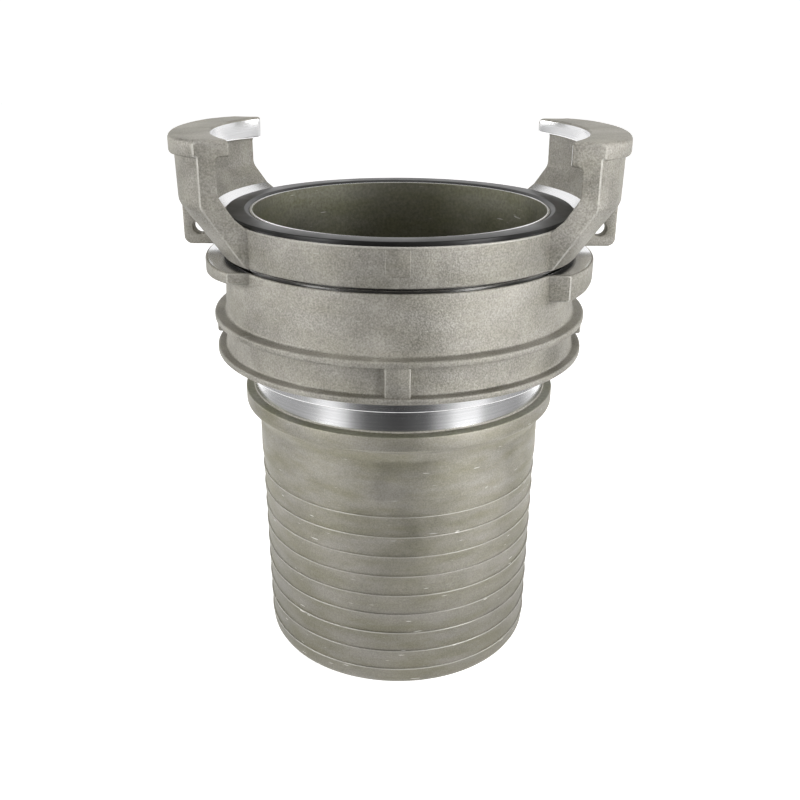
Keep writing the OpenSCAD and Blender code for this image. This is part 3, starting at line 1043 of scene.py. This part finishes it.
# The rim's mark is a painted highlight; the grip edges' marks are wear and painted highlight.
RIM_HIGHLIGHT, GRIP_WEAR_AND_HIGHLIGHT = 0.4, 0.04


def grip_edge(k):
    """Radius and height of grip edge k, counted from the tail's end."""
    return GRIP_RADIUS + GRIP_GROWTH * k, GRIP_START + GRIP_STEP * k


def body_outline():
    outline = [
        (56.6, 178.8, 0.3, True), (56.6, 177.9, 0.1, True), (59.2, 177.9, 0.1, True),
        (58.6, 172.5, 0.2, True), (62.6, 172.5, 0.2, True), (62.0, 177.9, 0.1, True),
        (65.9, 177.9, 0.35, False), (65.9, 177.2, 0.0, False), (65.9, 164.1, 0.5, False),
        (62.5, 164.1, 0.3, True), (62.5, 119.6, 0.5, True), (57.8, 119.6, 0.8, True),
        (57.8, 110.0, 0.7, False), (61.2, 110.0, 0.6, False), (61.2, 103.9, 1.5, False),
        (57.6, 102.2, 2.0, False), (56.2, 98.0, 6.0, False), (56.2, 82.5, 3.0, False),
    ]
    for k in reversed(range(GRIP_COUNT)):
        radius, height = grip_edge(k)
        outline += [
            (radius - GRIP_DEPTH, height + 0.3, 0.3, False),
            (radius - GRIP_BREAK[0], height + GRIP_BREAK[1], 0.0, False),
            (radius, height - GRIP_CREST, 0.0, False),
            (radius - 0.01, height - 0.35, 0.0, False),
        ]
    outline += [
        (54.58, 2.6, 1.5, False), (53.58, 0.78, 0.8, False), (52.3, 0.0, 0.4, False),
        (51.2, 0.0, 0.3, False), (50.5, 2.1, 1.0, False), (50.5, 122.9, 4.0, False),
        (55.3, 149.9, 4.0, False), (55.3, 178.8, 0.3, True),
    ]
    return outline


# Spots that get the pale edge colour: painted highlight on the rim, wear and painted highlight on the
# grips.
wear_and_highlight_spots = [(65.9, 177.9, RIM_HIGHLIGHT)]
for radius, height in map(grip_edge, range(GRIP_COUNT)):
    wear_and_highlight_spots.append((radius, height - GRIP_CREST, GRIP_WEAR_AND_HIGHLIGHT))
    wear_and_highlight_spots.append((radius - GRIP_BREAK[0], height + GRIP_BREAK[1], GRIP_WEAR_AND_HIGHLIGHT))
body = turn_on_lathe("body_casting", body_outline(), CAST, BRIGHT, wear_and_highlight=wear_and_highlight_spots)
print("body outline:", len(body_outline()), "corners;", len(body.data.polygons), "faces")

# %% [markdown]
# ## Hooks and pads
#
# The hooks carry the pull of the joint: a sloping flank, a thick wall and a
# lip that reaches inward over the mating lobe. The lip's underside climbs
# across the hook, so a turn draws the halves together. Halfway between the
# hooks, front and back, the head has a small raised pad, which is left bare.

# %% Hook and pad sections
HALF_WIDTH = 41.0
LIP_SLOPE = 0.0341
HOOK_SECTION = [
    (67.2, 164.1, 1.2, False, 0.5, False), (81.6, 184.45, 4.0, False, 3.6, False),
    (81.9, 201.5, 0.3, False, 3.9, False), (83.8, 201.5, 0.5, False, 4.9, False),
    (83.8, 207.45, 1.8, False, 4.9, False), (69.0, 207.45, 0.8, True, -3.6, False),
    (69.0, 200.6, 0.7, True, -3.6, True), (73.3, 200.6, 1.5, False, 0, True),
    (73.3, 188.7, 6.0, False, 0, False), (69.0, 181.1, 0.6, True, 0, False),
    (66.0, 177.9, 0.7, False, 0, False), (64.25, 177.9, 0.7, False, 0, False),
    (64.25, 164.1, 0.7, False, 0, False),
]
PAD_HALF, PAD_EDGE = 4.35, 0.3
PAD_SECTION = [
    (66.4, 167.9, 0.35, False, 0.5, False), (66.4, 176.9, 0.35, False, 0.5, False),
    (64.0, 176.9, 0.35, False, 0, False), (64.0, 167.9, 0.35, False, 0, False),
]
print("hook:", 2 * HALF_WIDTH, "mm wide; lip climbs", round(2 * HALF_WIDTH * LIP_SLOPE, 2), "mm")

# %% [markdown]
# ## Ears
#
# A thin pierced ear under each hook takes a chain or a seal wire. A hole could be
# cut with a boolean, but a flat curve with a second loop, a little thickness and
# a bevel gives shape, hole and rounded edges at once. It is drawn lying down and
# then turned upright.

# %% Ear
EAR_HALF, EAR_EDGE = 2.0, 0.5
EAR_CORNER, EAR_CORNER_R = (79.2, 167.4), 3
EAR_HOLE, EAR_HOLE_R, EAR_HOLE_POINTS = (75.8, 171.0), 2.75, 40


def ear_loops():
    """The ear's outline and its hole, as (radius, height) points."""
    arc = [(math.cos(math.radians(a)), math.sin(math.radians(a))) for a in range(-90, 1, 10)]
    foot = [(67.0, 164.4)]
    corner = [(EAR_CORNER[0] + EAR_CORNER_R * c, EAR_CORNER[1] + EAR_CORNER_R * s) for c, s in arc]
    side = [(82.2, 184.5), (80.5, 186.5)]
    turns = [math.tau * k / EAR_HOLE_POINTS for k in range(EAR_HOLE_POINTS)]
    hole = [
        (EAR_HOLE[0] + EAR_HOLE_R * math.cos(a), EAR_HOLE[1] + EAR_HOLE_R * math.sin(a)) for a in turns
    ]
    return foot + corner + side, hole


def ear_mesh():
    curve = bpy.data.curves.new("ear_outline", "CURVE")
    curve.dimensions = "2D"
    curve.fill_mode = "BOTH"
    curve.extrude, curve.bevel_depth, curve.bevel_resolution = EAR_HALF, EAR_EDGE, 2
    curve.offset = -EAR_EDGE
    for loop in ear_loops():
        spline = curve.splines.new("POLY")
        spline.points.add(len(loop) - 1)
        for point, (x, z) in zip(spline.points, loop):
            point.co = (x, z, 0, 1)
        spline.use_cyclic_u = True
    holder = link_object("ear_holder", curve)
    mesh = plain_mesh(holder)
    bpy.data.objects.remove(holder)
    mesh.transform(Matrix.Rotation(math.pi / 2, 4, "X"))
    return mesh


EAR = ear_mesh()
print("ear faces:", len(EAR.polygons))

# %% [markdown]
# ## Join them to the casting
#
# The back of the coupling is its front turned by half a turn, so hooks, pads
# and ears are added twice. They are parts of the same casting and go into its
# mesh. Points that fall together are merged before that.

# %% Hooks, pads and ears
HALF_TURN = 180
MERGE_REACH = 0.002


def add_hooks(mesh):
    bm = bmesh.new()
    for angle in (0, HALF_TURN):
        swept_block(bm, HOOK_SECTION, HALF_WIDTH, LIP_SLOPE, angle=angle)
        swept_block(bm, PAD_SECTION, PAD_HALF, edge=PAD_EDGE, angle=angle + 90, slot=PAD_SLOT)
        first = len(bm.verts)
        bm.from_mesh(EAR)
        bm.verts.ensure_lookup_table()
        turn = Matrix.Rotation(math.radians(angle), 3, "Z")
        bmesh.ops.rotate(bm, verts=bm.verts[first:], matrix=turn)
    bmesh.ops.remove_doubles(bm, verts=bm.verts, dist=MERGE_REACH)
    add_blocks(bm, mesh)


print("turned faces of the body:", sort_finishes(body.data))
add_hooks(body.data)
print("body with hooks:", len(body.data.polygons), "faces")

# %% [markdown]
# ## Finishes by place
#
# What the lathe left alone gets its finish by where it is: the tail below the
# collar, the waterway inside, the collar's top face. Waterway and collar top get
# painted shade. The two faces that look at each other across the narrow gap
# above the ring are painted nearly black, as painted shade for the gap.

# %% Finish the body
TAIL_TOP, COLLAR_TOP, COLLAR_FACING = 110.2 * MM, 109.5 * MM, 0.6
BORE_REACH, FLAT_FACING = 55.6 * MM, 0.9
HEAD_UNDERSIDE, GAP_REACH, GAP_DEPTH = 164.1 * MM, 66 * MM, 0.06 * MM


def shade_gap(mesh, height):
    """Painted shade on the flat faces at this height that lie within the gap."""
    for face in mesh.polygons:
        level = abs(face.center.z - height) < GAP_DEPTH
        if face.material_index == CAST_SLOT and level and face.center.xy.length < GAP_REACH:
            face.material_index = SHADE_SLOT


def finish_by_place(face):
    """Tail outside, waterway inside, and the top of the collar; waterway and collar top get painted
    shade.
    """
    if face.center.xy.length < BORE_REACH and abs(face.normal.z) < FLAT_FACING:
        outward = face.normal.xy.dot(face.center.xy) > 0
        face.material_index = TAIL_SLOT if outward else BORE_SLOT
    elif face.center.z < TAIL_TOP:
        collar_top = face.center.z > COLLAR_TOP and face.normal.z > COLLAR_FACING
        face.material_index = BORE_SLOT if collar_top else TAIL_SLOT


for face in body.data.polygons:
    if face.material_index == CAST_SLOT:
        finish_by_place(face)
shade_gap(body.data, HEAD_UNDERSIDE)
smooth_by_angle(body.data)
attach(body, "body")
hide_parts("coupling_body")
print("body:", len(body.data.polygons), "faces in", len(body.data.materials), "finishes")

# %% [markdown]
# ## The locking ring
#
# A second casting with a bored inside, loose on the skirt. Two ramped lobes
# under the hooks meet the lips of the other half, two ribs stiffen it, and
# lugs and bars give a spanner something to push against. It is turned on the
# same lathe tree, and its blocks are swept as the hooks are, so that both
# castings show the same kind of rounding.

# %% Ring sections
RING_OUTLINE = [
    (66.1, 162.6, 0.7, False), (67.1, 141.3, 1.0, False), (71.45, 141.3, 0.8, False),
    (71.45, 138.7, 0.8, False), (67.1, 138.7, 1.0, False), (67.6, 128.1, 0.8, False),
    (71.0, 128.1, 0.7, False), (71.0, 125.8, 0.7, False), (62.58, 125.8, 0.4, True),
    (62.58, 162.6, 0.4, False),
]
LOBE_SLOPE = 0.0683
LOBE_SECTION = [
    (73.6, 155.8, 1.0, False, 1.5, True), (73.6, 162.6, 0.8, True, 1.5, False),
    (63.5, 162.6, 0.7, False, 0, False), (63.5, 155.8, 0.7, False, 0, True),
]
LUG_HALF = 8.0
LUG_SECTION = [
    (71.9, 131.1, 0.8, False, 1.0, False), (71.9, 140.0, 0.8, False, 1.0, False),
    (64.0, 140.0, 0.7, False, 0, False), (64.0, 131.1, 0.7, False, 0, False),
]
BAR_HALF, BAR_EDGE = 4.35, 0.5
BAR_SECTION = [
    (70.75, 127.0, 0.6, False, 1.0, False), (70.75, 140.0, 0.6, False, 1.0, False),
    (64.0, 140.0, 0.6, False, 0, False), (64.0, 127.0, 0.6, False, 0, False),
]
print("ring outline:", len(RING_OUTLINE), "corners; lobes:", 2 * HALF_WIDTH, "mm wide")

# %% [markdown]
# ## Make the ring
#
# Lobes and lugs stand at the sides, under the hooks, and the bars at front and
# back, so the bars are turned by a further quarter. The ring's top face is the
# other side of the narrow gap and gets the same painted shade.

# %% Locking ring
RING_TOP = 162.6 * MM


def add_ring_blocks(mesh):
    bm = bmesh.new()
    for angle in (0, HALF_TURN):
        swept_block(bm, LOBE_SECTION, HALF_WIDTH, LOBE_SLOPE, angle=angle)
        swept_block(bm, LUG_SECTION, LUG_HALF, angle=angle)
        swept_block(bm, BAR_SECTION, BAR_HALF, edge=BAR_EDGE, angle=angle + 90)
    add_blocks(bm, mesh)


ring = turn_on_lathe("locking_ring_casting", RING_OUTLINE, CAST, BRIGHT)
print("turned faces of the ring:", sort_finishes(ring.data))
add_ring_blocks(ring.data)
shade_gap(ring.data, RING_TOP)
smooth_by_angle(ring.data)
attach(ring, "ring")
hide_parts("locking_ring")
print("ring:", len(ring.data.polygons), "faces")

# %% [markdown]
# ## Gasket
#
# A flat black flange with a root that snaps into a groove in the face and holds
# there, because it is wider at the bottom. A torus would miss both, so it is one
# closed outline, turned on the same lathe tree, with rubber as both finishes.

# %% Gasket
GASKET_OUTLINE = [
    (65.0, 179.4, 0.35, False), (65.0, 177.9, 0.1, False), (62.0, 177.9, 0.1, False),
    (62.6, 172.5, 0.2, False), (58.6, 172.5, 0.2, False), (59.2, 177.9, 0.1, False),
    (56.7, 177.9, 0.1, False), (56.7, 178.6, 0.2, False), (58.3, 179.4, 0.5, False),
]
gasket = turn_on_lathe("gasket_rubber_ring", GASKET_OUTLINE, RUBBER, RUBBER)
smooth_by_angle(gasket.data)
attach(gasket, "body")
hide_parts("gasket")
print("gasket:", len(gasket.data.polygons), "faces")

# %% [markdown]
# ## Retaining wire
#
# A sprung loop of round wire sits half in a groove of the skirt and keeps the
# ring from sliding down. Its gap, at the back, lets it be opened and put on. A
# torus has no gap, so an open curve with a round bevel and closed ends makes it.

# %% Retaining wire
WIRE_POINTS, WIRE_CRISP_ANGLE = 240, 50


def wire_loop(radius, height, wire_radius, gap):
    """Sizes are in millimetres, and the gap in degrees."""
    curve = bpy.data.curves.new("wire_path", "CURVE")
    curve.dimensions = "3D"
    curve.bevel_depth, curve.bevel_resolution, curve.use_fill_caps = wire_radius * MM, 4, True
    spline = curve.splines.new("POLY")
    spline.points.add(WIRE_POINTS - 1)
    for k, point in enumerate(spline.points):
        a = math.radians(90 + gap / 2 + (360 - gap) * k / (WIRE_POINTS - 1))
        point.co = (radius * MM * math.cos(a), radius * MM * math.sin(a), height * MM, 1)
    holder = link_object("wire_holder", curve)
    mesh = plain_mesh(holder)
    bpy.data.objects.remove(holder)
    mesh.materials.clear()
    mesh.materials.append(WIRE)
    return mesh


loop_mesh = wire_loop(radius=62.5, height=124.25, wire_radius=1.25, gap=10)
wire = link_object("retaining_wire_loop", loop_mesh)
smooth_by_angle(wire.data, WIRE_CRISP_ANGLE)
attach(wire, "body")
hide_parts("retaining_wire")
print("wire:", len(wire.data.polygons), "faces")
